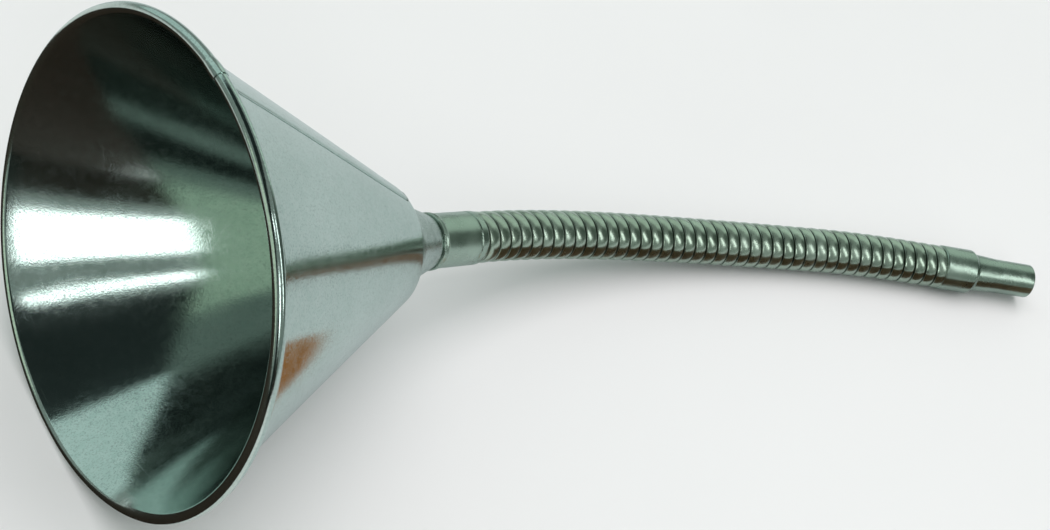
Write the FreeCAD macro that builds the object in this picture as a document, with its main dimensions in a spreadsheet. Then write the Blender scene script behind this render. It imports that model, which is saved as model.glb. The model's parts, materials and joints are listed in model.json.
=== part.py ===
"""Funnel with a rolled rim, a soldered neck and a flexible metal spout.

The funnel lies on a level floor.  The rolled rim and the end of the spout rest
on the floor, the bowl leans towards its spout, and the spout droops in an arch
and swings to one side.  Millimetres, +Z up, +X from the mouth towards the tip,
origin on the floor under the middle of the whole object.

Every piece except the packing rings is turned about its own local Z axis, which
points from the mouth towards the tip.
"""
import FreeCAD, Part
import math
import os
import re

import Sketcher

TURN_LEFT = 1
TURN_RIGHT = -1
XZ_PLANE = "XZ_Plane"
SECTION_COUNT = 13
PIVOT_COUNT = SECTION_COUNT + 1

doc = FreeCAD.newDocument("Funnel")
dims = doc.addObject("Spreadsheet::Sheet", "dims")

# Driving dimensions in millimetres and degrees.
DRIVING = {
    # bowl
    "mouth_radius": 80.0,        # over the rolled rim
    "sheet_gauge": 0.5,
    "wire_radius": 1.5,
    "wire_play": 0.05,
    "curl_turn": 300.0,          # how far the rim curls round its wire
    "cone_angle": 27.95,         # half angle of the bowl
    "cone_depth": 101.5,         # mouth plane to the turned-in shoulder
    "shoulder_angle": 48.0,      # half angle of the shoulder
    "shoulder_depth": 108.0,     # mouth plane to the bowl's open end
    "lap_width": 4.0,            # side seam of the bowl
    "lap_inset": 2.5,            # seam stops short of the rim and of the shoulder
    # neck cone and collar
    "flange_length": 3.2,        # neck cone lapped on the inside of the shoulder
    "spigot_radius": 9.8,
    "spigot_start": 124.4,
    "spigot_end": 131.0,
    "collar_start": 123.2,
    "collar_end": 147.0,
    "collar_radius": 10.5,
    "lip_radius": 11.0,
    "lip_length": 1.9,
    "lip_crest": 0.8,            # front of the lip to its widest ring
    "lip_flare": 3.0,            # hollow curve behind the lip
    "lip_edge": 0.67,            # rounded edge of the lip
    "lip_face": 0.5,
    "lip_lead": 1.3,             # depth of the flare inside the lip
    "crimp_radius": 9.4,         # inside of a crimped ferrule edge
    "crimp_length": 1.2,
    "crimp_wall": 0.55,
    "crimp_land": 1.0,           # straight part of the crimp, on the inside
    "crimp_run": 1.7,            # end of the crimp's slope, on the inside
    "edge_gap": 0.3,             # ferrule edge to the nearest band
    "roll_groove_at": 143.0,
    "roll_groove_half": 0.9,
    "roll_groove_depth": 0.3,
    # flexible spout
    "band_pitch": 5.8,           # one turn of the wound strip
    "hose_radius": 10.1,
    "groove_radius": 9.6,
    "bore_radius": 7.0,
    "first_pivot": 155.7,        # mouth plane to the first joint of the spout
    "ball_radius": 8.2,
    "ball_neck": 7.8,
    "socket_radius": 9.1,
    "socket_lip": 1.0,
    "shoulder_back": 4.2,        # joint centre back to the outer bands before it
    "packing_inside": 8.45,
    "packing_outside": 8.85,
    "packing_half": 1.0,
    "plug_radius": 9.75,         # spout end inside its ferrule
    "plug_length": 13.0,
    "plug_play": 0.1,
    "plug_setback": 0.5,         # neck spigot to the spout's end inside the collar
    "end_length": 8.7,           # last joint to the ferrule's edge
    # nozzle
    "ferrule_radius": 10.4,
    "ferrule_length": 16.3,
    "nozzle_radius": 8.0,
    "nozzle_shoulder": 8.8,
    "step_length": 2.0,
    "taper_length": 13.0,
    "nozzle_length": 18.0,
    "nozzle_wall": 0.7,
    "tip_rounding": 0.55,        # radius of the rounded end, as a share of the wall
    # how it lies
    "droop_sections": 10.0,      # sections over which the spout droops to the floor
    "swing_angle": 33.0,         # how far the spout swings to one side
    "swing_wave": 0.25,
    "swing_lead": 0.44,
    "seam_turn": -2.1,           # side seam round the bowl, from its top
}

# Sizes that follow from the driving dimensions, written as formulas.
DERIVED = {
    "curl_radius": "wire_radius + sheet_gauge",
    "ring_radius": "mouth_radius - curl_radius",
    "ring_depth": "curl_radius",
    "wall_in_r": "ring_radius - curl_radius * cos(cone_angle)",
    "wall_in_z": "ring_depth - curl_radius * sin(cone_angle)",
    "wall_out_r": "ring_radius - wire_radius * cos(cone_angle)",
    "wall_out_z": "ring_depth - wire_radius * sin(cone_angle)",
    "curl_end": "180 + cone_angle + curl_turn",
    "throat_r": "wall_out_r - (cone_depth - wall_out_z) * tan(cone_angle)",
    "mean_angle": "(cone_angle + shoulder_angle) / 2",
    "corner_inset": "sheet_gauge / cos((shoulder_angle - cone_angle) / 2)",
    "open_r": "throat_r - (shoulder_depth - cone_depth) * tan(shoulder_angle)",
    "open_in_r": "open_r - sheet_gauge * cos(shoulder_angle)",
    "open_in_z": "shoulder_depth - sheet_gauge * sin(shoulder_angle)",
    "neck_angle": "atan((open_in_r - spigot_radius) / (spigot_start - open_in_z)) / 1deg",
    "flange_r": "open_in_r + flange_length * sin(shoulder_angle)",
    "flange_z": "open_in_z - flange_length * cos(shoulder_angle)",
    "flange_inset": "sheet_gauge / cos((shoulder_angle - neck_angle) / 2)",
    "flange_mean": "(shoulder_angle + neck_angle) / 2",
    "spigot_inset": "sheet_gauge * tan(neck_angle / 2)",
    "section_length": "3 * band_pitch",
    "section_band": "(section_length - shoulder_back + socket_lip) / 3",
    "crown_height": "hose_radius - groove_radius",
    "socket_bore_z": "sqrt(socket_radius ^ 2 - bore_radius ^ 2)",
    "socket_mouth_r": "sqrt(socket_radius ^ 2 - socket_lip ^ 2)",
    "ball_half": "sqrt(ball_radius ^ 2 - ball_neck ^ 2)",
    "packing_in_r": "sqrt(packing_inside ^ 2 - packing_half ^ 2)",
    "packing_out_r": "sqrt(packing_outside ^ 2 - packing_half ^ 2)",
}


def fill_sheet():
    """Write the driving dimensions into the spreadsheet, one row each."""
    for row, (name, number) in enumerate(DRIVING.items(), start=1):
        dims.set("A%d" % row, name)
        dims.set("B%d" % row, str(number))
        dims.setAlias("B%d" % row, name)
    doc.recompute()


def bound(formula):
    """Turn a formula of plain names into an expression on the spreadsheet."""
    def swap(match):
        name = match.group(0)
        if name in DRIVING:
            return "dims." + name
        if name in DERIVED:
            return "(" + bound(DERIVED[name]) + ")"
        return name
    return re.sub(r"[A-Za-z_]+", swap, formula)


def size(formula):
    """Value of a formula as a plain number, angles in degrees."""
    result = dims.evalExpression(bound(formula))
    return float(getattr(result, "Value", result))


def plane_of(body, role):
    """Origin plane of a body, found by its role."""
    for feature in body.Origin.OriginFeatures:
        if feature.Role == role:
            return feature
    raise ValueError("no plane " + role)


def edge_curve(start, end, arc):
    """Line or arc from start to end; arc is None or (radius, turn, more than half)."""
    first = FreeCAD.Vector(start[0], start[1], 0)
    last = FreeCAD.Vector(end[0], end[1], 0)
    if arc is None:
        return Part.LineSegment(first, last), 1, 2
    radius, turn, large = arc
    chord = last - first
    across = FreeCAD.Vector(-chord.y, chord.x, 0).normalize()
    reach = math.sqrt(max(radius ** 2 - (chord.Length / 2) ** 2, 0))
    side = -turn if large else turn
    centre = (first + last) / 2 + across * (reach * side)
    circle = Part.Circle(centre, FreeCAD.Vector(0, 0, 1), radius)
    ends = (first, last) if turn == TURN_LEFT else (last, first)
    angles = [math.atan2(point.y - centre.y, point.x - centre.x) for point in ends]
    if angles[1] < angles[0]:
        angles[1] += 2 * math.pi
    curve = Part.ArcOfCircle(circle, angles[0], angles[1])
    if turn == TURN_LEFT:
        return curve, 1, 2
    return curve, 2, 1


def draw_outline(body, outline, name):
    """Closed, fully bound sketch on the body's XZ plane.

    The outline is a list of corners (radius, depth) in formulas.  A corner may
    carry a third item, the arc that leaves it: (radius formula, turn, large).
    """
    sketch = body.newObject("Sketcher::SketchObject", name)
    sketch.AttachmentSupport = [(plane_of(body, XZ_PLANE), "")]
    sketch.MapMode = "FlatFace"
    count = len(outline)
    points = [(size(corner[0]), size(corner[1])) for corner in outline]
    ends = []
    for index, corner in enumerate(outline):
        arc = None
        if len(corner) > 2:
            arc = (size(corner[2][0]), corner[2][1], corner[2][2])
        curve, start_end, last_end = edge_curve(points[index], points[(index + 1) % count], arc)
        ends.append((sketch.addGeometry(curve, False), start_end, last_end))
    for index, (edge, start_end, last_end) in enumerate(ends):
        following, next_start, _ = ends[(index + 1) % count]
        sketch.addConstraint(
            Sketcher.Constraint("Coincident", edge, last_end, following, next_start))
    for (edge, start_end, _), corner, point in zip(ends, outline, points):
        for kind, formula, number in (
                ("DistanceX", corner[0], point[0]), ("DistanceY", corner[1], point[1])):
            limit = sketch.addConstraint(
                Sketcher.Constraint(kind, -1, 1, edge, start_end, number))
            sketch.setExpression("Constraints[%d]" % limit, bound(formula))
        if len(corner) > 2:
            limit = sketch.addConstraint(Sketcher.Constraint("Radius", edge, size(corner[2][0])))
            sketch.setExpression("Constraints[%d]" % limit, bound(corner[2][0]))
    return sketch


def turned_body(name, outline):
    """PartDesign body made by turning an outline about its local Z axis."""
    body = doc.addObject("PartDesign::Body", name)
    body.Label = name
    sketch = draw_outline(body, outline, name + "_outline")
    doc.recompute()
    turned = body.newObject("PartDesign::Revolution", name + "_turned")
    turned.Profile = sketch
    turned.ReferenceAxis = (sketch, ["V_Axis"])
    turned.Angle = 360
    body.Tip = turned
    sketch.Visibility = False
    doc.recompute()
    return body


def make_bowl():
    """Conical bowl: shoulder, wall and the rim curled outward round the wire."""
    curl = "curl_radius"
    body = turned_body("funnel_bowl", [
        ("wall_in_r", "wall_in_z", (curl, TURN_LEFT, True)),
        ("ring_radius + curl_radius * cos(curl_end)", "ring_depth + curl_radius * sin(curl_end)"),
        ("ring_radius + wire_radius * cos(curl_end)", "ring_depth + wire_radius * sin(curl_end)",
         ("wire_radius", TURN_RIGHT, True)),
        ("wall_out_r", "wall_out_z"),
        ("throat_r", "cone_depth"),
        ("open_r", "shoulder_depth"),
        ("open_in_r", "open_in_z"),
        ("throat_r - corner_inset * cos(mean_angle)", "cone_depth - corner_inset * sin(mean_angle)"),
    ])
    add_lap(body)
    return body


def add_lap(body):
    """Second layer of sheet along the bowl's side seam."""
    low = "(cone_depth - lap_inset)"
    high = "(wall_out_z + lap_inset)"
    run = "wall_out_r - (%s - wall_out_z) * tan(cone_angle)"
    outside = " + sheet_gauge / cos(cone_angle)"
    inside = " - sheet_gauge / 2"
    sketch = draw_outline(body, [
        (run % high + inside, high),
        (run % high + outside, high),
        (run % low + outside, low),
        (run % low + inside, low),
    ], "funnel_lap_outline")
    doc.recompute()
    lap = body.newObject("PartDesign::Pad", "funnel_lap")
    lap.Profile = sketch
    lap.SideType = "Symmetric"
    lap.setExpression("Length", bound("lap_width"))
    body.Tip = lap
    sketch.Visibility = False
    doc.recompute()


def make_wire():
    """Stiffening wire inside the curled rim."""
    ring = doc.addObject("Part::Torus", "rim_wire")
    ring.Label = "rim_wire"
    ring.setExpression("Radius1", bound("ring_radius"))
    ring.setExpression("Radius2", bound("wire_radius - wire_play"))
    doc.recompute()
    return ring


def make_neck():
    """Neck cone: flange lapped inside the shoulder, cone and spigot."""
    return turned_body("neck_cone", [
        ("flange_r", "flange_z"),
        ("open_in_r", "open_in_z"),
        ("spigot_radius", "spigot_start"),
        ("spigot_radius", "spigot_end"),
        ("spigot_radius - sheet_gauge", "spigot_end"),
        ("spigot_radius - sheet_gauge", "spigot_start - spigot_inset"),
        ("open_in_r - flange_inset * cos(flange_mean)", "open_in_z - flange_inset * sin(flange_mean)"),
        ("flange_r - sheet_gauge * cos(shoulder_angle)", "flange_z - sheet_gauge * sin(shoulder_angle)"),
    ])


def crimped_edge(start, inward, radius):
    """Corners of a ferrule edge crimped into the spout's groove.

    start is the edge's depth, inward is + or -, the way along the axis into the ferrule.
    """
    return [
        ("spigot_radius", "%s %s crimp_run" % (start, inward)),
        ("crimp_radius", "%s %s crimp_land" % (start, inward)),
        ("crimp_radius", start),
        ("crimp_radius + crimp_wall", start,
         ("crimp_length", TURN_LEFT if inward == "-" else TURN_RIGHT, False)),
        (radius, "%s %s crimp_length" % (start, inward)),
    ]


def make_collar():
    """Collar between the neck and the spout: flared lip, rolled groove, crimped edge."""
    groove = "(roll_groove_half ^ 2 / (2 * roll_groove_depth) + roll_groove_depth / 2)"
    return turned_body("spout_collar", [
        ("spigot_radius", "collar_start + lip_lead"),
    ] + crimped_edge("collar_end", "-", "collar_radius") + [
        ("collar_radius", "roll_groove_at + roll_groove_half", (groove, TURN_RIGHT, False)),
        ("collar_radius", "roll_groove_at - roll_groove_half"),
        ("collar_radius", "collar_start + lip_length",
         ("lip_flare", TURN_RIGHT, False)),
        ("lip_radius", "collar_start + lip_crest", ("lip_edge", TURN_LEFT, False)),
        ("lip_radius - lip_face", "collar_start"),
    ])


def band_corners(start, length, count):
    """Corners of crowned bands one after another from a depth, each an outward arc."""
    crown = "((%s) ^ 2 / (8 * crown_height) + crown_height / 2)" % length
    corners = []
    for band in range(count):
        corners.append(
            ("groove_radius", "%s + %d * (%s)" % (start, band, length), (crown, TURN_LEFT, False)))
    corners.append(("groove_radius", "%s + %d * (%s)" % (start, count, length)))
    return corners


def ball_corners(pivot):
    """Corners of the ball on the front of a piece, centred on the pivot depth."""
    return [
        ("ball_neck", "%s - shoulder_back" % pivot),
        ("ball_neck", "%s - ball_half" % pivot, ("ball_radius", TURN_LEFT, False)),
        ("ball_neck", "%s + ball_half" % pivot),
        ("bore_radius", "%s + ball_half" % pivot),
    ]


def socket_corners():
    """Corners of the socket at the back of a piece, centred on depth 0."""
    return [
        ("bore_radius", "socket_bore_z", ("socket_radius", TURN_RIGHT, False)),
        ("socket_mouth_r", "-socket_lip"),
    ]


def make_root():
    """Root of the spout: plug in the collar, one visible band and the first ball."""
    start = "collar_end + edge_gap"
    outline = [
        ("bore_radius", "spigot_end + plug_setback"),
        ("plug_radius", "spigot_end + plug_setback"),
        ("plug_radius", "collar_end - crimp_run - plug_play"),
        ("crimp_radius - plug_play", "collar_end - crimp_land - plug_play"),
        ("crimp_radius - plug_play", start),
    ]
    outline += band_corners(start, "first_pivot - shoulder_back - collar_end - edge_gap", 1)
    outline += ball_corners("first_pivot")
    return turned_body("hose_root", outline)


def make_section(number):
    """One length of the spout: socket at the back, three bands, ball at the front."""
    outline = socket_corners()
    outline += band_corners("-socket_lip", "section_band", 3)
    outline += ball_corners("section_length")
    return turned_body("hose_section_%02d" % number, outline)


def make_packing(number):
    """Packing ring between a ball and its socket."""
    return turned_body("hose_packing_%02d" % number, [
        ("packing_out_r", "-packing_half", ("packing_outside", TURN_LEFT, False)),
        ("packing_out_r", "packing_half"),
        ("packing_in_r", "packing_half", ("packing_inside", TURN_RIGHT, False)),
        ("packing_in_r", "-packing_half"),
    ])


def make_end():
    """End of the spout: last socket, two bands and the plug in the nozzle's ferrule."""
    outline = socket_corners()
    outline += band_corners("-socket_lip", "(end_length + socket_lip - edge_gap) / 2", 2)
    outline += [
        ("crimp_radius - plug_play", "end_length - edge_gap"),
        ("crimp_radius - plug_play", "end_length + crimp_land + plug_play"),
        ("plug_radius", "end_length + crimp_run + plug_play"),
        ("plug_radius", "end_length + plug_length"),
        ("bore_radius", "end_length + plug_length"),
    ]
    return turned_body("hose_end", outline)


def make_nozzle():
    """Swaged nozzle: crimped ferrule, step, taper and straight tip with a rounded end."""
    step = "ferrule_length + step_length"
    taper = "ferrule_length + step_length + taper_length"
    tip = "ferrule_length + step_length + taper_length + nozzle_length"
    rounding = "nozzle_wall * tip_rounding"
    edge = crimped_edge("0", "+", "ferrule_radius")
    return turned_body("tip_nozzle", edge + [
        ("ferrule_radius", "ferrule_length"),
        ("nozzle_shoulder", step),
        ("nozzle_radius", taper),
        ("nozzle_radius", tip + " - " + rounding, (rounding, TURN_LEFT, False)),
        ("nozzle_radius - nozzle_wall", tip + " - " + rounding),
        ("nozzle_radius - nozzle_wall", taper),
        ("nozzle_shoulder - nozzle_wall", step),
        ("spigot_radius", "ferrule_length - nozzle_wall / 2"),
    ])


def direction(tilt, swing):
    """Unit vector that points down by tilt and sideways by swing, in degrees."""
    down = math.radians(tilt)
    side = math.radians(swing)
    return FreeCAD.Vector(
        math.cos(down) * math.cos(side), math.cos(down) * math.sin(side), -math.sin(down))


def lying_tilts(mouth_tilt):
    """Tilt of the bowl (0), of each section and of the end, in degrees.

    The droop fades evenly until the spout touches the floor.  From there it lies
    on its bands, and rises by the ferrule's extra radius.
    """
    droop = size("droop_sections")
    lying = [number for number in range(PIVOT_COUNT + 1) if number >= droop]
    run = len(lying) * size("section_length")
    rise = math.degrees(math.asin(size("ferrule_radius - hose_radius") / run))
    tilts = [mouth_tilt * (1 - number / droop) for number in range(PIVOT_COUNT + 1)]
    for number in lying:
        tilts[number] = -rise
    return tilts


def mouth_height(mouth_tilt):
    """Height of the mouth plane's centre with the rolled rim on the floor."""
    tilt = math.radians(mouth_tilt)
    return (size("ring_radius") * math.cos(tilt) + size("ring_depth") * math.sin(tilt)
            + size("curl_radius"))


def touch_height(mouth_tilt):
    """Height of the spout's axis where it should first touch the floor."""
    height = mouth_height(mouth_tilt) - size("first_pivot") * math.sin(math.radians(mouth_tilt))
    droop = size("droop_sections")
    for number, tilt in enumerate(lying_tilts(mouth_tilt)):
        if 0 < number < droop:
            height -= size("section_length") * math.sin(math.radians(tilt))
    return height


def resting_tilt():
    """Tilt of the bowl at which the spout just touches the floor, by bisection."""
    low, high = 5.0, 30.0
    while high - low > 1e-9:
        middle = (low + high) / 2
        if touch_height(middle) > size("hose_radius"):
            low = middle
        else:
            high = middle
    return low


def lying_swings():
    """Sideways angle of the bowl (0), of each section and of the end, in degrees."""
    swings = []
    for number in range(PIVOT_COUNT):
        share = number / PIVOT_COUNT
        wave = size("swing_wave") * math.sin(2 * math.pi * share) / (2 * math.pi)
        lead = size("swing_lead") * share * (1 - share)
        swings.append(-size("swing_angle") * (share + wave + lead))
    return swings + swings[-1:]


def spout_path():
    """Directions of the bowl, the sections and the end, and the joint centres.

    Lengths are from the mouth plane's centre, before the move onto the origin.
    """
    mouth_tilt = resting_tilt()
    ways = [direction(tilt, swing) for tilt, swing in zip(lying_tilts(mouth_tilt), lying_swings())]
    centre = FreeCAD.Vector(0, 0, mouth_height(mouth_tilt))
    pivots = [centre + ways[0] * size("first_pivot")]
    for way in ways[1:PIVOT_COUNT]:
        pivots.append(pivots[-1] + way * size("section_length"))
    return centre, ways, pivots


def facing(way, turn=0.0):
    """Rotation that points local Z along way, with local X up, then turned about Z."""
    across = FreeCAD.Vector(0, 0, 1).cross(way).normalize()
    upright = way.cross(across)
    level = FreeCAD.Rotation(upright, across, way, "ZXY")
    return level.multiply(FreeCAD.Rotation(FreeCAD.Vector(0, 0, 1), turn))


def joint_way(ways, number):
    """Middle direction between the two pieces that meet at a joint."""
    return (ways[number] + ways[number + 1]).normalize()


def build():
    """Make every sub-part and put it in its place; returns the sub-parts."""
    fill_sheet()
    centre, ways, pivots = spout_path()
    seam = size("seam_turn")
    placed = []

    def place(piece, point, way, turn=0.0):
        piece.Placement = FreeCAD.Placement(point, facing(way, turn))
        placed.append(piece)

    place(make_bowl(), centre, ways[0], seam)
    place(make_wire(), centre + ways[0] * size("ring_depth"), ways[0])
    place(make_neck(), centre, ways[0])
    place(make_collar(), centre, ways[0])
    place(make_root(), centre, ways[0])
    for number in range(1, SECTION_COUNT + 1):
        place(make_section(number), pivots[number - 1], ways[number])
    for number in range(PIVOT_COUNT):
        place(make_packing(number + 1), pivots[number], joint_way(ways, number))
    place(make_end(), pivots[-1], ways[-1])
    place(make_nozzle(), pivots[-1] + ways[-1] * size("end_length"), ways[-1])
    doc.recompute()
    return placed


def move_to_origin(pieces):
    """Slide the whole object so that the middle of its footprint is the origin."""
    whole = FreeCAD.BoundBox()
    for piece in pieces:
        whole.add(piece.Shape.optimalBoundingBox(False))
    shift = FreeCAD.Vector(-whole.Center.x, -whole.Center.y, 0)
    for piece in pieces:
        piece.Placement.Base = piece.Placement.Base + shift
    doc.recompute()
    return shift


def check(pieces):
    """Stop if any object failed or any sub-part has no sound solid."""
    for item in doc.Objects:
        if "Invalid" in item.State or "Error" in item.State:
            raise RuntimeError("%s failed: %s" % (item.Name, item.State))
    for piece in pieces:
        shape = piece.Shape
        if shape.isNull() or not shape.isValid() or len(shape.Solids) != 1:
            raise RuntimeError(piece.Label + " has no sound solid")


def export(pieces):
    """Write one STEP file per sub-part."""
    os.makedirs("parts", exist_ok=True)
    for piece in pieces:
        piece.Shape.exportStep(os.path.join("parts", piece.Label + ".step"))


subparts = build()
origin_shift = move_to_origin(subparts)
check(subparts)
export(subparts)
print("%d sub-parts written" % len(subparts))
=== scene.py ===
"""Looks of the funnel: tinned sheet bowl, rolled rim, soldered neck, wound spout and nozzle.

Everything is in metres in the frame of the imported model.  The funnel's own axis and the
spout's centre line are worked out from the frame's joints and from its nozzle mount.
"""
import json
import math

import bmesh
import bpy
from mathutils import Matrix, Vector


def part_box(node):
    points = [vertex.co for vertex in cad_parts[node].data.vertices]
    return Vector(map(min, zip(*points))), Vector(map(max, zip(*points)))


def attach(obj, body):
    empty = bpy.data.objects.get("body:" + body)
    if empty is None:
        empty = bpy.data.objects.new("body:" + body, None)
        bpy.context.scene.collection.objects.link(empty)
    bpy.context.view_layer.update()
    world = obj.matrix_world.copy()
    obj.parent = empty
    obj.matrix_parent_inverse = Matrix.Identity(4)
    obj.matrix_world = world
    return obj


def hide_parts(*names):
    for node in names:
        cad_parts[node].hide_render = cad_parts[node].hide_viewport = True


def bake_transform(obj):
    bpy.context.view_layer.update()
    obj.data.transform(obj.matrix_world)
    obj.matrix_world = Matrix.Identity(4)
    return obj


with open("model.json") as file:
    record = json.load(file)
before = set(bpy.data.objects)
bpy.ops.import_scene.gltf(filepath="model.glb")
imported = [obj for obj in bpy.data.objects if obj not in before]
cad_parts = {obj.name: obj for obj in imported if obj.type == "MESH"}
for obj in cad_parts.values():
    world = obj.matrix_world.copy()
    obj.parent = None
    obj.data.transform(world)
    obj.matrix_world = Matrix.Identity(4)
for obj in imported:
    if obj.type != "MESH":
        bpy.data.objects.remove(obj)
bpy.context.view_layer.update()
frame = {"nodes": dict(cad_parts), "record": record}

MM = 0.001
RECORD = frame["record"]

# Sizes of the sheet-metal pieces, in millimetres along and round the funnel's axis.
RING_RADIUS = 78.0
CURL_RADIUS = 2.0
WIRE_RADIUS = 1.5
GAUGE = 0.5
CONE_ANGLE = math.radians(27.95)
CONE_DEPTH = 101.5
SHOULDER_RADIUS = 16.29
SHOULDER_DEPTH = 108.0
SPIGOT_RADIUS = 9.8
COLLAR_START = 123.2
COLLAR_END = 147.0
COLLAR_RADIUS = 10.5
FIRST_PIVOT = 155.7
SPOUT_RADIUS = 10.1
BAND_PITCH = 5.8
FERRULE_RADIUS = 10.4
FERRULE_LENGTH = 16.3
NOZZLE_RADIUS = 8.0
NOZZLE_SHOULDER = 8.8
NOZZLE_WALL = 0.7
STEP_LENGTH = 2.0
TAPER_LENGTH = 13.0
NOZZLE_LENGTH = 18.0
SECTION_LENGTH = 3 * BAND_PITCH
HALF_SECTION = SECTION_LENGTH / 2
SEAM_ANGLE = math.radians(-2.1)
CURL_JOINT_ANGLE = math.radians(0.8)
LAP_WIDTH = 4.2
LAP_HEIGHT = 0.42
BEND_RADIUS = 2.2          # outside bend between cone and shoulder
CURL_TURN = 300            # degrees the mouth edge is curled round the wire
NECK_FOOT = (18.3, 105.5)  # radius and depth, outside, where the neck meets the shoulder
NECK_BEND = (15.95, 107.6)
NECK_TOP = 124.4
NECK_END = 131.0
COLLAR_BORE = 9.4
TUBE_RADIUS = 7.6          # inside of the wound strip
BETWEEN_RADIUS = 8.0       # nearer than the strip's outside, further than its inside

# Shape of one turn of the wound strip, in millimetres and in shares of its width.
CROWN = 0.48
GROOVE_DEPTH = 1.05
GROOVE_HALF_WIDTH = 0.045
AROUND = 96
SAMPLES = [0.0, 0.02, 0.045, 0.07, 0.10, 0.15, 0.25, 0.38, 0.5, 0.62, 0.75, 0.85, 0.90, 0.93, 0.955,
           0.98]

# Studio, in metres, with directions seen from the middle of the bowl.
BOWL_MIDDLE = (-0.18, 0.03, 0.09)
PANEL_DISTANCE = 1.3
FLAG_HEIGHT = 1.2
CLOTH_HEIGHT = 0.002
CLOTH_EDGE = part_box("funnel_bowl")[0].x - 0.004
COOL_WHITE = (0.95, 1.0, 1.0)


# ---------------------------------------------------------------- the frame's own places

def joint_places():
    """Centres of the spout's joints from bowl to tip."""
    places = {}
    for joint in RECORD["behaviour"]["joints"]:
        if joint["name"].startswith("side_"):
            places[joint["name"]] = Vector(joint["pos_m"])
    return [places[name] for name in sorted(places)]


def tip_way():
    """Direction of the nozzle, from its mount."""
    for mount in RECORD["mounts"]:
        if mount["name"] == "nozzle":
            return Vector(mount["axis"]).normalized()
    raise ValueError("the record has no nozzle mount")


def bowl_tilt(first_place):
    """Angle of the bowl's axis below level, from the height of the first joint."""
    low, high = 0.0, math.radians(45)
    while high - low > 1e-9:
        middle = (low + high) / 2
        height = (RING_RADIUS * math.cos(middle) + CURL_RADIUS * math.sin(middle) + CURL_RADIUS
                  - FIRST_PIVOT * math.sin(middle))
        if height * MM > first_place.z:
            low = middle
        else:
            high = middle
    return low


PIVOTS = joint_places()
TILT = bowl_tilt(PIVOTS[0])
BOWL_WAY = Vector((math.cos(TILT), 0.0, -math.sin(TILT)))
MOUTH = PIVOTS[0] - BOWL_WAY * (FIRST_PIVOT * MM)
WAYS = [BOWL_WAY]
WAYS += [(after - before).normalized() for before, after in zip(PIVOTS, PIVOTS[1:])]
WAYS += [tip_way()]
NOZZLE_START = PIVOTS[-1] + WAYS[-1] * (HALF_SECTION * MM)


def upright_frame(way):
    """Two unit vectors across way, the first as upright as it can be."""
    up = (Vector((0, 0, 1)) - way * way.z).normalized()
    return up, way.cross(up)


class Axis:
    """Cylinder coordinates round a straight axis: radius and depth in millimetres."""

    def __init__(self, origin, way):
        self.origin = origin
        self.way = way
        self.up, self.side = upright_frame(way)

    def point(self, radius, depth, angle):
        outward = self.up * math.cos(angle) + self.side * math.sin(angle)
        return self.origin + (self.way * depth + outward * radius) * MM


FUNNEL_AXIS = Axis(MOUTH, BOWL_WAY)
TIP_AXIS = Axis(NOZZLE_START, WAYS[-1])


# ---------------------------------------------------------------- mesh helpers

def arc(centre_r, centre_z, radius, start, end, steps):
    """Points of an arc in (radius, depth), angles in degrees."""
    points = []
    for step in range(steps + 1):
        turn = math.radians(start + (end - start) * step / steps)
        points.append((centre_r + radius * math.cos(turn), centre_z + radius * math.sin(turn)))
    return points


def finer(points, longest):
    """The same outline with long straight runs cut into shorter ones."""
    result = []
    for here, there in zip(points, points[1:] + points[:1]):
        length = math.hypot(there[0] - here[0], there[1] - here[1])
        parts = max(1, math.ceil(length / longest))
        for part in range(parts):
            share = part / parts
            result.append(
                (here[0] + (there[0] - here[0]) * share, here[1] + (there[1] - here[1]) * share))
    return result


def add_object(name, mesh):
    """Scene object for a finished mesh."""
    thing = bpy.data.objects.new(name, mesh)
    bpy.context.scene.collection.objects.link(thing)
    return thing


def turned(name, outline, axis, steps=192, longest=6.0, shift=None, first=0.0):
    """Closed lathe mesh.  shift(radius, depth, angle) may move a point a little."""
    outline = finer(outline, longest)
    vertices = []
    for step in range(steps):
        angle = first + 2 * math.pi * step / steps
        for radius, depth in outline:
            if shift is not None:
                radius, depth = shift(radius, depth, angle)
            vertices.append(axis.point(radius, depth, angle))
    count = len(outline)
    faces = []
    for step in range(steps):
        near = step * count
        far = ((step + 1) % steps) * count
        for index in range(count):
            following = (index + 1) % count
            faces.append((near + index, far + index, far + following, near + following))
    mesh = bpy.data.meshes.new(name)
    mesh.from_pydata(vertices, [], faces)
    rounds = mesh.uv_layers.new(name="round")
    for face_index, face in enumerate(mesh.polygons):
        step, index = divmod(face_index, count)
        corners = ((step, index), (step + 1, index), (step + 1, index + 1), (step, index + 1))
        for loop, (across, along) in zip(face.loop_indices, corners):
            rounds.data[loop].uv = (across / steps, along / count)
    tidy_mesh(mesh)
    return add_object(name, mesh)


def tidy_mesh(mesh, angle=math.radians(32)):
    """Outward normals, smooth faces and sharp edges where the surface really turns."""
    work = bmesh.new()
    work.from_mesh(mesh)
    bmesh.ops.recalc_face_normals(work, faces=work.faces)
    for edge in work.edges:
        if len(edge.link_faces) == 2 and edge.calc_face_angle(0.0) > angle:
            edge.smooth = False
    for face in work.faces:
        face.smooth = True
    work.to_mesh(mesh)
    work.free()
    mesh.update()


# ---------------------------------------------------------------- materials

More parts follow.
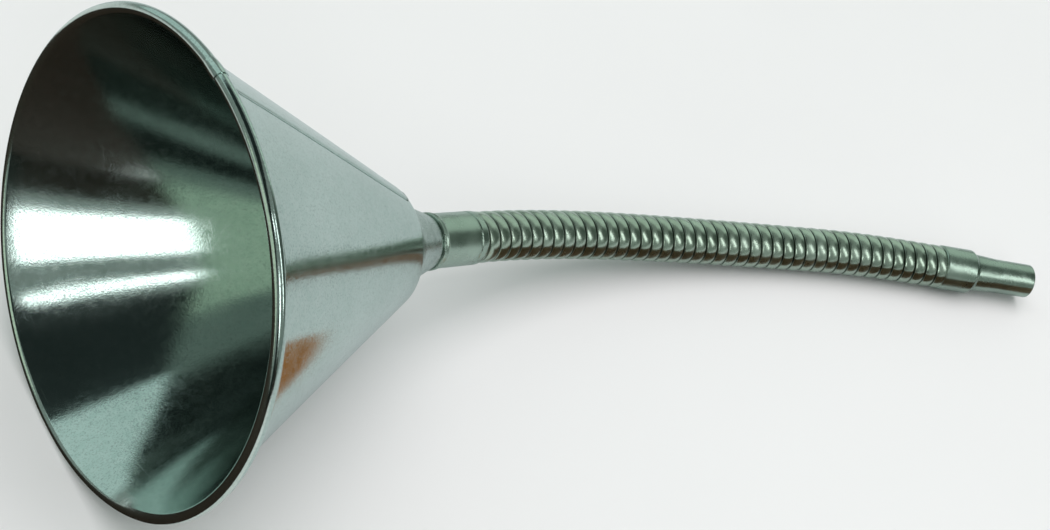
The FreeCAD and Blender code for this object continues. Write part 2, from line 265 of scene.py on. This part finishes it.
class Shader:
    """Small builder for node materials: keeps the tree and places nodes as they come."""

    def __init__(self, name):
        self.material = bpy.data.materials.new(name)
        self.material.use_nodes = True
        self.tree = self.material.node_tree
        self.surface = self.tree.nodes["Principled BSDF"]
        coordinates = self.tree.nodes.new("ShaderNodeTexCoord")
        self.place = coordinates.outputs["Object"]

    def node(self, kind, **settings):
        made = self.tree.nodes.new(kind)
        for name, value in settings.items():
            setattr(made, name, value)
        return made

    def link(self, source, target):
        self.tree.links.new(source, target)

    def scaled(self, sizes, source=None, turn=(0.0, 0.0, 0.0)):
        mapping = self.node("ShaderNodeMapping")
        mapping.inputs["Scale"].default_value = sizes
        mapping.inputs["Rotation"].default_value = turn
        self.link(source or self.place, mapping.inputs["Vector"])
        return mapping.outputs["Vector"]

    def noise(self, scale, detail=6.0, roughness=0.55, source=None, distortion=0.0):
        made = self.node("ShaderNodeTexNoise")
        made.inputs["Scale"].default_value = scale
        made.inputs["Detail"].default_value = detail
        made.inputs["Roughness"].default_value = roughness
        made.inputs["Distortion"].default_value = distortion
        self.link(source or self.place, made.inputs["Vector"])
        return made.outputs["Fac"]

    def cells(self, scale, source=None):
        made = self.node("ShaderNodeTexVoronoi")
        made.inputs["Scale"].default_value = scale
        self.link(source or self.place, made.inputs["Vector"])
        return made.outputs["Color"]

    def ramp(self, source, low, high, low_value, high_value):
        """Value that goes from low_value to high_value as source goes from low to high."""
        made = self.node("ShaderNodeMapRange")
        made.inputs["From Min"].default_value = low
        made.inputs["From Max"].default_value = high
        made.inputs["To Min"].default_value = low_value
        made.inputs["To Max"].default_value = high_value
        self.link(source, made.inputs["Value"])
        return made.outputs["Result"]

    def blend(self, factor, first, second):
        """Colour between two colours, each a tuple or a socket."""
        made = self.node("ShaderNodeMix", data_type="RGBA")
        self.link(factor, made.inputs["Factor"])
        for name, colour in (("A", first), ("B", second)):
            target = [item for item in made.inputs if item.name == name and item.type == "RGBA"][0]
            if isinstance(colour, tuple):
                target.default_value = (*colour, 1.0)
            else:
                self.link(colour, target)
        return [item for item in made.outputs if item.type == "RGBA"][0]

    def math(self, operation, first, second):
        made = self.node("ShaderNodeMath", operation=operation)
        for target, value in zip(made.inputs, (first, second)):
            if isinstance(value, (int, float)):
                target.default_value = value
            else:
                self.link(value, target)
        return made.outputs["Value"]

    def bump(self, height, strength, distance, below=None):
        made = self.node("ShaderNodeBump")
        made.inputs["Strength"].default_value = strength
        made.inputs["Distance"].default_value = distance
        self.link(height, made.inputs["Height"])
        if below is not None:
            self.link(below, made.inputs["Normal"])
        return made.outputs["Normal"]

    def finish(self, colour, roughness, normal, metallic=1.0):
        self.surface.inputs["Metallic"].default_value = metallic
        self.link(colour, self.surface.inputs["Base Color"])
        self.link(roughness, self.surface.inputs["Roughness"])
        self.link(normal, self.surface.inputs["Normal"])
        return self.material


def scratch_lines(shader, turn, scale):
    """Mask of long thin scratches in one direction, where stretched noise is at its highest."""
    squeeze = 0.012
    faint, full = 0.715, 0.76
    stretched = shader.scaled((scale, scale * squeeze, scale * squeeze), turn=turn)
    lines = shader.noise(1.0, detail=2.0, source=stretched, distortion=0.1)
    return shader.ramp(lines, faint, full, 0.0, 1.0)


def tinned_sheet(name, light, dark, smooth, dull):
    """Tinned sheet steel: soft spangle, handling marks, faint scratches and dents."""
    shader = Shader(name)
    spangle = shader.node("ShaderNodeSeparateColor")
    shader.link(shader.cells(520.0), spangle.inputs["Color"])
    mottle = shader.noise(1500.0, detail=4.0)
    clouds = shader.noise(22.0, detail=5.0)
    colour = shader.blend(shader.ramp(clouds, 0.35, 0.68, 0.0, 1.0), dark, light)
    colour = shader.blend(
        shader.ramp(spangle.outputs["Red"], 0.0, 1.0, 0.0, 0.16), colour, (0.78, 0.80, 0.78))
    colour = shader.blend(shader.ramp(mottle, 0.50, 0.72, 0.0, 0.50), colour, (0.26, 0.30, 0.29))
    scratches = shader.math(
        "MAXIMUM", scratch_lines(shader, (0.3, 0.9, 0.4), 3600.0),
        scratch_lines(shader, (1.2, 0.2, 1.9), 2900.0))
    colour = shader.blend(shader.math("MULTIPLY", scratches, 0.18), colour, (0.82, 0.84, 0.83))
    smudge = shader.ramp(shader.noise(45.0, detail=8.0, roughness=0.7), 0.30, 0.72, smooth, dull)
    rough = shader.math("ADD", smudge, shader.math("MULTIPLY", scratches, 0.07))
    rough = shader.math("ADD", rough, shader.ramp(mottle, 0.42, 0.68, -0.03, 0.06))
    rough = shader.math(
        "ADD", rough, shader.ramp(spangle.outputs["Green"], 0.0, 1.0, -0.025, 0.025))
    waves = shader.bump(shader.noise(16.0, detail=1.0), 0.18, 0.0016)
    grain = shader.bump(mottle, 0.09, 0.0002, waves)
    marks = shader.bump(scratches, 0.08, 0.00005, grain)
    return shader.finish(colour, rough, marks)


def rolled_steel(name, light, dark, smooth, dull, groove=None):
    """Plated steel of the spout and its ferrules: brushed round, rubbed bright, painted shade in the
    grooves.
    """
    shader = Shader(name)
    clouds = shader.noise(60.0, detail=6.0, roughness=0.65)
    grain = shader.noise(1400.0, detail=3.0)
    colour = shader.blend(shader.ramp(clouds, 0.34, 0.70, 0.0, 1.0), dark, light)
    colour = shader.blend(shader.ramp(grain, 0.58, 0.75, 0.0, 0.30), colour, (0.24, 0.25, 0.22))
    rough = shader.ramp(clouds, 0.30, 0.70, smooth, dull)
    waves = shader.bump(shader.noise(180.0, detail=2.0), 0.22, 0.0004)
    normal = shader.bump(grain, 0.12, 0.00015, waves)
    if groove is not None:
        depth = shader.node("ShaderNodeAttribute", attribute_name=groove)
        # Painted shade: the colour goes nearly black with the depth of each groove between the
        # strip's turns, and the grooves are also made duller.
        groove_shade_mask = shader.ramp(depth.outputs["Fac"], 0.25, 0.95, 0.0, 1.0)
        colour = shader.blend(groove_shade_mask, colour, (0.012, 0.014, 0.012))
        rough = shader.math("ADD", rough, shader.math("MULTIPLY", groove_shade_mask, 0.35))
    return shader.finish(colour, rough, normal)


SHEET = tinned_sheet("tinned_sheet", (0.54, 0.64, 0.60), (0.45, 0.55, 0.51), 0.09, 0.17)
NECK_SHEET = tinned_sheet("neck_sheet", (0.50, 0.58, 0.54), (0.38, 0.45, 0.42), 0.20, 0.32)
FERRULE = rolled_steel("ferrule_steel", (0.46, 0.56, 0.48), (0.33, 0.41, 0.35), 0.20, 0.34)
SPOUT = rolled_steel("spout_steel", (0.57, 0.67, 0.57), (0.40, 0.48, 0.39), 0.20, 0.32, "groove")
WIRE = rolled_steel("wire_steel", (0.40, 0.41, 0.40), (0.28, 0.29, 0.28), 0.30, 0.45)


def dress(thing, material):
    """Give a piece its only material."""
    thing.data.materials.clear()
    thing.data.materials.append(material)
    return thing


# ---------------------------------------------------------------- bowl

def bowl_outline():
    """Closed outline of the bowl: curled rim, cone and turned-in shoulder."""
    normal = math.degrees(CONE_ANGLE)
    start = 180 + normal
    throat = (RING_RADIUS - WIRE_RADIUS * math.cos(CONE_ANGLE)
              - (CONE_DEPTH - CURL_RADIUS + WIRE_RADIUS * math.sin(CONE_ANGLE))
              * math.tan(CONE_ANGLE))
    shoulder = math.atan2(throat - SHOULDER_RADIUS, SHOULDER_DEPTH - CONE_DEPTH)
    mean = math.degrees((CONE_ANGLE + shoulder) / 2)
    centre = (throat - BEND_RADIUS * math.cos(math.radians(mean)),
              CONE_DEPTH - BEND_RADIUS * math.sin(math.radians(mean)))
    outer = arc(*centre, BEND_RADIUS, normal, math.degrees(shoulder), 6)
    inner = arc(*centre, BEND_RADIUS - GAUGE, math.degrees(shoulder), normal, 6)
    outline = arc(RING_RADIUS, CURL_RADIUS, CURL_RADIUS, start, start + CURL_TURN, 40)
    outline += arc(RING_RADIUS, CURL_RADIUS, WIRE_RADIUS, start + CURL_TURN, start, 30)
    outline += outer
    outline.append((SHOULDER_RADIUS, SHOULDER_DEPTH))
    outline.append((SHOULDER_RADIUS - GAUGE * math.cos(shoulder),
                    SHOULDER_DEPTH - GAUGE * math.sin(shoulder)))
    outline += inner
    return outline


def bowl_shift(radius, depth, angle):
    """Hand-formed unevenness: shallow waves in the wall that fade out at rim and shoulder."""
    fade = 20.0
    rim_end, shoulder_start = 6.0, 100.0
    wall = (max(0.0, min(1.0, (depth - rim_end) / fade))
            * max(0.0, min(1.0, (shoulder_start - depth) / fade)))
    wave = 0.16 * math.sin(3 * angle + 0.7) + 0.10 * math.sin(5 * angle + depth / 22.0)
    return radius + wall * wave, depth


def make_bowl():
    """The bowl in one sheet, with its curled rim."""
    bowl = turned("bowl_sheet", bowl_outline(), FUNNEL_AXIS, 288, 5.0, bowl_shift)
    dress(bowl, SHEET)
    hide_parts("funnel_bowl")
    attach(bowl, "bowl")


def make_lap():
    """Raised edge of the side seam, a narrow strip of sheet along the outside of the cone."""
    first_depth, last_depth = CURL_RADIUS + 2.5, CONE_DEPTH - 1.5
    lengthwise, crosswise = 60, 12
    slope_columns = 7
    sunk = 0.12
    vertices = []
    for row in range(lengthwise + 1):
        depth = first_depth + (last_depth - first_depth) * row / lengthwise
        wall = (RING_RADIUS - WIRE_RADIUS * math.cos(CONE_ANGLE)
                - (depth - CURL_RADIUS + WIRE_RADIUS * math.sin(CONE_ANGLE)) * math.tan(CONE_ANGLE))
        for column in range(crosswise + 1):
            across = LAP_WIDTH * (column / crosswise - 0.5)
            edge = min(column, crosswise - column) / crosswise
            rise = LAP_HEIGHT * min(1.0, edge * slope_columns) - sunk
            angle = SEAM_ANGLE + across / wall
            radius, moved = bowl_shift(wall + rise, depth, angle)
            vertices.append(FUNNEL_AXIS.point(radius, moved, angle))
    faces = []
    for row in range(lengthwise):
        for column in range(crosswise):
            corner = row * (crosswise + 1) + column
            faces.append((corner, corner + 1, corner + crosswise + 2, corner + crosswise + 1))
    mesh = bpy.data.meshes.new("bowl_lap")
    mesh.from_pydata(vertices, [], faces)
    tidy_mesh(mesh)
    lap = add_object("bowl_lap", mesh)
    thick = lap.modifiers.new("sheet", "SOLIDIFY")
    thick.thickness = 0.3 * MM
    thick.offset = -1.0
    dress(lap, SHEET)
    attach(lap, "bowl")


def make_curl_joint():
    """Short sleeve where the curl's end was tapped over its start, with a step at one edge."""
    first, last = 170, 440
    thick, sunk = 0.32, 0.2
    outline = arc(RING_RADIUS, CURL_RADIUS, CURL_RADIUS + thick, first, last, 30)
    outline += arc(RING_RADIUS, CURL_RADIUS, CURL_RADIUS - sunk, last, first, 30)
    half = math.radians(2.6)
    slimmest = 0.84
    step_share = 0.15
    steps = 14
    vertices = []
    for step in range(steps + 1):
        share = step / steps
        angle = CURL_JOINT_ANGLE - 2 * half * share
        ease = 1.0
        if share >= step_share:
            ease = math.cos((share - step_share) / (1 - step_share) * math.pi / 2) ** 0.7
        slim = slimmest + (1 - slimmest) * ease
        for radius, depth in outline:
            slim_r = RING_RADIUS + (radius - RING_RADIUS) * slim
            slim_z = CURL_RADIUS + (depth - CURL_RADIUS) * slim
            vertices.append(FUNNEL_AXIS.point(slim_r, slim_z, angle))
    count = len(outline)
    faces = [tuple(range(count))]
    for step in range(steps):
        for index in range(count):
            near = step * count + index
            following = step * count + (index + 1) % count
            faces.append((near, near + count, following + count, following))
    faces.append(tuple(range(steps * count, (steps + 1) * count))[::-1])
    mesh = bpy.data.meshes.new("curl_joint")
    mesh.from_pydata(vertices, [], faces)
    tidy_mesh(mesh)
    sleeve = add_object("curl_joint", mesh)
    dress(sleeve, SHEET)
    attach(sleeve, "bowl")


def make_neck():
    """Neck cone from inside the shoulder to the collar."""
    outline = [
        NECK_FOOT,
        NECK_BEND,
        (SPIGOT_RADIUS, NECK_TOP),
        (SPIGOT_RADIUS, NECK_END),
        (SPIGOT_RADIUS - GAUGE, NECK_END),
        (SPIGOT_RADIUS - GAUGE, NECK_TOP - 0.1),
        (NECK_BEND[0] - 0.45, NECK_BEND[1] - 0.2),
        (NECK_FOOT[0] - 0.3, NECK_FOOT[1] - 0.4),
    ]
    neck = turned("neck_sheet", outline, FUNNEL_AXIS, 128, 4.0)
    dress(neck, NECK_SHEET)
    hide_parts("neck_cone")
    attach(neck, "bowl")


def make_collar():
    """Collar with a rounded, flared lip, a rolled groove and a crimped edge."""
    edge, groove, flare, lip = 1.0, 0.75, 2.6, 0.62
    groove_depth = COLLAR_END - 4.0
    outline = [
        (SPIGOT_RADIUS, COLLAR_START + 1.3),
        (SPIGOT_RADIUS, COLLAR_END - 1.6),
        (COLLAR_BORE, COLLAR_END - 0.9),
        (COLLAR_BORE, COLLAR_END),
    ]
    outline += arc(COLLAR_RADIUS - edge, COLLAR_END - edge, edge, 80, 0, 6)
    outline += arc(COLLAR_RADIUS + 0.45, groove_depth, groove, 127, 233, 8)
    outline += arc(COLLAR_RADIUS + flare, COLLAR_START + 3.4, flare, 180, 215, 5)
    outline += arc(COLLAR_RADIUS - 0.05, COLLAR_START + lip, lip, 60, -120, 12)
    collar = turned("collar", outline, FUNNEL_AXIS, 128, 3.0)
    dress(collar, FERRULE)
    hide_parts("spout_collar")
    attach(collar, "bowl")


# ---------------------------------------------------------------- spout

def band_height(share):
    """How far the strip's surface stands below the spout's radius, across one turn (0 to 1)."""
    edge = min(share, 1 - share)
    crown = CROWN * (2 * share - 1) ** 2
    groove = GROOVE_DEPTH * math.exp(-(edge / GROOVE_HALF_WIDTH) ** 2)
    return crown + groove


def centre_line(number, share):
    """Point and direction on the bent centre line; each arc runs between two section middles."""
    before, after = WAYS[number], WAYS[number + 1]
    middle = PIVOTS[number]
    start = middle - before * (HALF_SECTION * MM)
    end = middle + after * (HALF_SECTION * MM)
    back = 1 - share
    point = start * back ** 2 + middle * (2 * back * share) + end * share ** 2
    return point, (before * back + after * share).normalized()


def straight_strip(first_turn, last_turn, outside):
    """Wound strip round a straight axis, a bmesh in (across, up, depth in turns)."""
    work = bmesh.new()
    rows = []
    for turn in range(math.floor(first_turn) - 2, math.ceil(last_turn) + 1):
        rows += [turn + share for share in SAMPLES]
    grid = []
    for row in rows:
        line = []
        share = row - math.floor(row)
        drop = band_height(share)
        radius = SPOUT_RADIUS - drop if outside else TUBE_RADIUS - 0.5 * drop
        for step in range(AROUND + 1):
            angle = 2 * math.pi * step / AROUND
            depth = row + step / AROUND
            line.append(work.verts.new((radius * math.cos(angle), radius * math.sin(angle), depth)))
        grid.append(line)
    for near, far in zip(grid, grid[1:]):
        for step in range(AROUND):
            corners = (near[step], near[step + 1], far[step + 1], far[step])
            work.faces.new(corners if outside else corners[::-1])
    for depth, side in ((first_turn, -1), (last_turn, 1)):
        bmesh.ops.bisect_plane(
            work, geom=work.verts[:] + work.edges[:] + work.faces[:], dist=1e-7,
            plane_co=(0, 0, depth), plane_no=(0, 0, side), clear_outer=True)
    bmesh.ops.remove_doubles(work, verts=work.verts[:], dist=1e-5)
    return work


def wound_normal(x, y, depth, outside):
    """Surface normal of the straight strip at a point, as (across, up, along)."""
    angle = math.atan2(y, x)
    share = (depth - angle / (2 * math.pi)) % 1.0
    small = 0.008
    slope = (band_height((share + small) % 1.0) - band_height((share - small) % 1.0))
    slope /= 2 * small * BAND_PITCH
    normal = Vector((math.cos(angle), math.sin(angle), slope if outside else 0.5 * slope))
    if not outside:
        normal = -normal
    return normal.normalized(), band_height(share)


def bent_strip(name, number, first_share, last_share):
    """Piece of the wound spout between two places of one arc, bent to its resting curve."""
    turns_per_arc = SECTION_LENGTH / BAND_PITCH
    mesh = bpy.data.meshes.new(name)
    whole = bmesh.new()
    for outside in (True, False):
        first_turn = (number + first_share) * turns_per_arc
        last_turn = (number + last_share) * turns_per_arc
        part = straight_strip(first_turn, last_turn, outside)
        store = bpy.data.meshes.new("strip")
        part.to_mesh(store)
        part.free()
        whole.from_mesh(store)
        bpy.data.meshes.remove(store)
    whole.verts.ensure_lookup_table()
    normals = []
    depths = []
    for vertex in whole.verts:
        x, y, turn = vertex.co
        outside = math.hypot(x, y) > BETWEEN_RADIUS
        normal, drop = wound_normal(x, y, turn, outside)
        point, way = centre_line(number, turn / turns_per_arc - number)
        up, side = upright_frame(way)
        vertex.co = point + (up * x + side * y) * MM
        normals.append(up * normal.x + side * normal.y + way * normal.z)
        depths.append(min(1.0, drop / 1.2))
    for face in whole.faces:
        face.smooth = True
    whole.to_mesh(mesh)
    whole.free()
    mesh.normals_split_custom_set_from_vertices([normal[:] for normal in normals])
    # Depth of each groove, which the spout's material turns into painted shade.
    groove = mesh.attributes.new("groove", "FLOAT", "POINT")
    groove.data.foreach_set("value", depths)
    return add_object(name, mesh)


def make_spout():
    """The whole wound strip, cut at every joint and at every section's middle."""
    last = len(PIVOTS) - 1
    for number, pivot in enumerate(PIVOTS):
        ring = "packing_%02d" % (number + 1)
        near = bent_strip("spout_%02d_near" % (number + 1), number, 0.0, 0.5)
        far = bent_strip("spout_%02d_far" % (number + 1), number, 0.5, 1.0)
        for piece in (near, far):
            dress(piece, SPOUT)
        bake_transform(near)
        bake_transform(far)
        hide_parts("hose_" + ring)
        if number == 0:
            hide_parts("hose_root")
        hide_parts("hose_end" if number == last else "hose_section_%02d" % (number + 1))


def make_nozzle():
    """Swaged nozzle: crimped ferrule, step, taper and straight tip with a rounded end."""
    step = FERRULE_LENGTH + STEP_LENGTH
    taper = step + TAPER_LENGTH
    tip = taper + NOZZLE_LENGTH
    edge = NOZZLE_WALL / 2
    rounding, bend, hollow = 1.0, 1.2, 0.8
    outline = [(SPIGOT_RADIUS, 1.8), (COLLAR_BORE, rounding), (COLLAR_BORE, 0.0)]
    outline += arc(FERRULE_RADIUS - rounding, rounding, rounding, 280, 360, 6)
    outline += arc(FERRULE_RADIUS - bend, FERRULE_LENGTH - bend / 2, bend, 0, 38, 5)
    outline += arc(NOZZLE_SHOULDER + hollow, step + 0.2, hollow, 218, 180, 4)
    outline += [(NOZZLE_RADIUS, taper)]
    outline += arc(NOZZLE_RADIUS - edge, tip - edge, edge, 0, 180, 10)
    outline += [
        (NOZZLE_RADIUS - NOZZLE_WALL, taper),
        (NOZZLE_SHOULDER - NOZZLE_WALL, step),
        (SPIGOT_RADIUS, FERRULE_LENGTH - 0.4),
    ]
    nozzle = turned("nozzle", outline, TIP_AXIS, 128, 3.0)
    dress(nozzle, FERRULE)
    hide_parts("tip_nozzle")
    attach(nozzle, "tip")


make_bowl()
make_lap()
make_curl_joint()
make_neck()
make_collar()
make_spout()
make_nozzle()
dress(frame["nodes"]["rim_wire"], WIRE)


# ---------------------------------------------------------------- floor, light and camera

def plain_material(name, colour, roughness):
    shader = Shader(name)
    clouds = shader.noise(3.0, detail=3.0)
    shade = tuple(channel * 0.97 for channel in colour)
    tone = shader.blend(shader.ramp(clouds, 0.3, 0.7, 0.0, 1.0), shade, colour)
    rough = shader.ramp(clouds, 0.3, 0.7, roughness * 0.95, roughness)
    normal = shader.bump(shader.noise(400.0), 0.02, 0.0005)
    return shader.finish(tone, rough, normal, metallic=0.0)


def make_floor():
    """Plain pale floor, far wider than the view."""
    half = 4.0
    mesh = bpy.data.meshes.new("floor")
    corners = [(-half, -half, 0), (half, -half, 0), (half, half, 0), (-half, half, 0)]
    mesh.from_pydata(corners, [], [(0, 1, 2, 3)])
    floor = add_object("floor", mesh)
    dress(floor, plain_material("floor", (0.90, 0.86, 0.875), 0.7))


def aim(thing, place, target):
    """Put a light or the camera at a place and point it at a target."""
    thing.location = place
    thing.rotation_euler = (Vector(target) - Vector(place)).to_track_quat("-Z", "Y").to_euler()


def soft_light(name, place, target, width, height, power, colour=(1.0, 1.0, 1.0)):
    data = bpy.data.lights.new(name, "AREA")
    data.shape = "RECTANGLE"
    data.size = width
    data.size_y = height
    data.energy = power
    data.color = colour
    light = bpy.data.objects.new(name, data)
    bpy.context.scene.collection.objects.link(light)
    aim(light, place, target)
    return light


def make_world():
    world = bpy.data.worlds.new("studio")
    bpy.context.scene.world = world
    world.use_nodes = True
    background = world.node_tree.nodes["Background"]
    background.inputs["Color"].default_value = (0.80, 0.95, 0.88, 1.0)
    background.inputs["Strength"].default_value = 0.30
    bpy.context.scene.view_settings.view_transform = "Standard"


def toward(heading, height, distance, origin=BOWL_MIDDLE):
    """Place seen from the bowl at a compass heading and a height angle, in degrees."""
    turn, rise = math.radians(heading), math.radians(height)
    way = Vector((math.cos(rise) * math.cos(turn), math.cos(rise) * math.sin(turn), math.sin(rise)))
    return Vector(origin) + way * distance


def card(name, corners, colour):
    """Studio card that only shows in the metal's reflections, like a flag beside the table."""
    mesh = bpy.data.meshes.new(name)
    mesh.from_pydata(corners, [], [tuple(range(len(corners)))])
    thing = add_object(name, mesh)
    dress(thing, plain_material(name, colour, 0.8))
    thing.visible_camera = False
    thing.visible_diffuse = False
    thing.visible_shadow = False


def flat_card(name, height, outline, colour):
    """Level card at a height above the floor, from its outline in plan."""
    card(name, [(x, y, height) for x, y in outline], colour)


def wall_card(name, first_heading, last_heading, low, high, colour):
    """Upright card round the bowl between two headings and two height angles, in degrees."""
    corners = []
    for heading, height in ((first_heading, low), (last_heading, low),
                            (last_heading, high), (first_heading, high)):
        corners.append(toward(heading, height, PANEL_DISTANCE))
    card(name, corners, colour)


def spout_card(name, here, there, colour):
    """Upright card along the spout's near side, from the floor to a little above its middle."""
    gap, foot, above = 0.016, 0.001, 0.003
    way = (there - here).normalized()
    aside = Vector((way.y, -way.x, 0)).normalized() * gap
    first, last = here + aside, there + aside
    card(name, [(first.x, first.y, foot), (last.x, last.y, foot),
                (last.x, last.y, there.z + above), (first.x, first.y, here.z + above)], colour)


def panel(name, heading, height, across, upward, glow, colour, origin=BOWL_MIDDLE):
    """Soft light by its place in the reflections: centre and half widths in degrees, and glow."""
    width = 2 * PANEL_DISTANCE * math.tan(math.radians(across))
    tall = 2 * PANEL_DISTANCE * math.tan(math.radians(upward))
    power = math.pi * width * tall * glow
    return soft_light(name, toward(heading, height, PANEL_DISTANCE, origin),
                      toward(heading, height, 0.0, origin), width, tall, power, colour)


def make_dark_cards():
    """Dark flags round and over the mouth, and dark cloth on the floor before it."""
    flat_card("flag_overhead", FLAG_HEIGHT, [(-1.9, -1.1), (0.35, 0.0), (0.35, 0.74), (-0.60, 0.74),
                                             (-0.66, 0.20), (-1.9, -0.40)], (0.010, 0.020, 0.020))
    wall_card("flag_front", -92, -119, -4, 12, (0.020, 0.014, 0.009))
    wall_card("flag_corner", -119, -142, -4, 25, (0.014, 0.022, 0.018))
    wall_card("flag_side", -12, -50, -2, 40, (0.10, 0.13, 0.11))
    flat_card("cloth_front", CLOTH_HEIGHT, [
        (-2.2, -2.2), (CLOTH_EDGE - 0.86, -2.2), (CLOTH_EDGE + 0.02, -0.03), (CLOTH_EDGE, 0.30),
        (-2.2, 0.30)], (0.026, 0.013, 0.008))


def make_pale_cards():
    """Pale cloth under the cone, a warm spot on it and warm cards beside the spout."""
    near, far, side = CLOTH_EDGE + 0.05, 1.6, 1.5
    flat_card("cloth_under", 0.0008, [(near, -side), (far, -side), (far, side), (near, side)],
              (0.66, 0.68, 0.70))
    middle_x, middle_y = -0.070, -0.067
    half_length, half_width = 0.042, 0.016
    outline = []
    for step in range(16):
        turn = 2 * math.pi * step / 16
        outline.append((middle_x + half_length * math.cos(turn),
                        middle_y + half_width * math.sin(turn)))
    flat_card("cloth_warm", CLOTH_HEIGHT, outline, (0.36, 0.13, 0.03))
    spots = PIVOTS + [NOZZLE_START, NOZZLE_START + WAYS[-1] * 0.06]
    for number, (here, there) in enumerate(zip(spots, spots[1:])):
        spout_card("card_spout_%02d" % number, here, there, (0.22, 0.12, 0.065))


def make_lights():
    """Windows and walls that the metal reflects, and a broad fill above that it doesn't."""
    spout_start, spout_middle = (0.05, 0.0, 0.05), (0.10, 0.0, 0.03)
    panel("window_low", heading=-112, height=32, across=6.5, upward=11.5, glow=3.2, colour=COOL_WHITE)
    panel("window_high", heading=-114.5, height=60.5, across=7, upward=2.6, glow=3.2,
          colour=COOL_WHITE)
    panel("side_wall", heading=98, height=31, across=22, upward=27, glow=0.42,
          colour=(0.75, 1.0, 0.98))
    panel("back_wall", heading=27, height=27, across=27, upward=20, glow=0.44,
          colour=(0.82, 1.0, 0.88), origin=spout_start)
    panel("low_wall", heading=176, height=17, across=18, upward=19, glow=0.50,
          colour=(0.85, 1.0, 0.74))
    panel("window_side", heading=-71, height=42, across=5, upward=20, glow=2.6, colour=COOL_WHITE,
          origin=spout_middle)
    fill = soft_light("fill", (0.2, 0.0, 2.2), (0, 0, 0), 2.4, 2.4, 37)
    fill.visible_glossy = False


def make_camera():
    """Camera above and beyond the mouth, rolled a little, at the viewing angle wanted."""
    place = Vector((-0.3151, -0.2327, 0.4175))
    heading = math.radians(33.50)
    down = math.radians(46.94)
    roll = math.radians(27.38)
    level = Vector((math.cos(heading), math.sin(heading), 0))
    right = Vector((math.sin(heading), -math.cos(heading), 0))
    forward = level * math.cos(down) - Vector((0, 0, math.sin(down)))
    up = level * math.sin(down) + Vector((0, 0, math.cos(down)))
    turned_right = right * math.cos(roll) + up * math.sin(roll)
    turned_up = up * math.cos(roll) - right * math.sin(roll)
    data = bpy.data.cameras.new("camera")
    data.sensor_width = 36.0
    data.lens = 45.98
    data.shift_x = -0.0873
    data.shift_y = 0.0394
    data.clip_start = 0.01
    camera = bpy.data.objects.new("camera", data)
    bpy.context.scene.collection.objects.link(camera)
    turn = Matrix((turned_right, turned_up, -forward)).transposed()
    camera.matrix_world = Matrix.Translation(place) @ turn.to_4x4()
    bpy.context.scene.camera = camera


make_floor()
make_world()
make_dark_cards()
make_pale_cards()
make_lights()
make_camera()
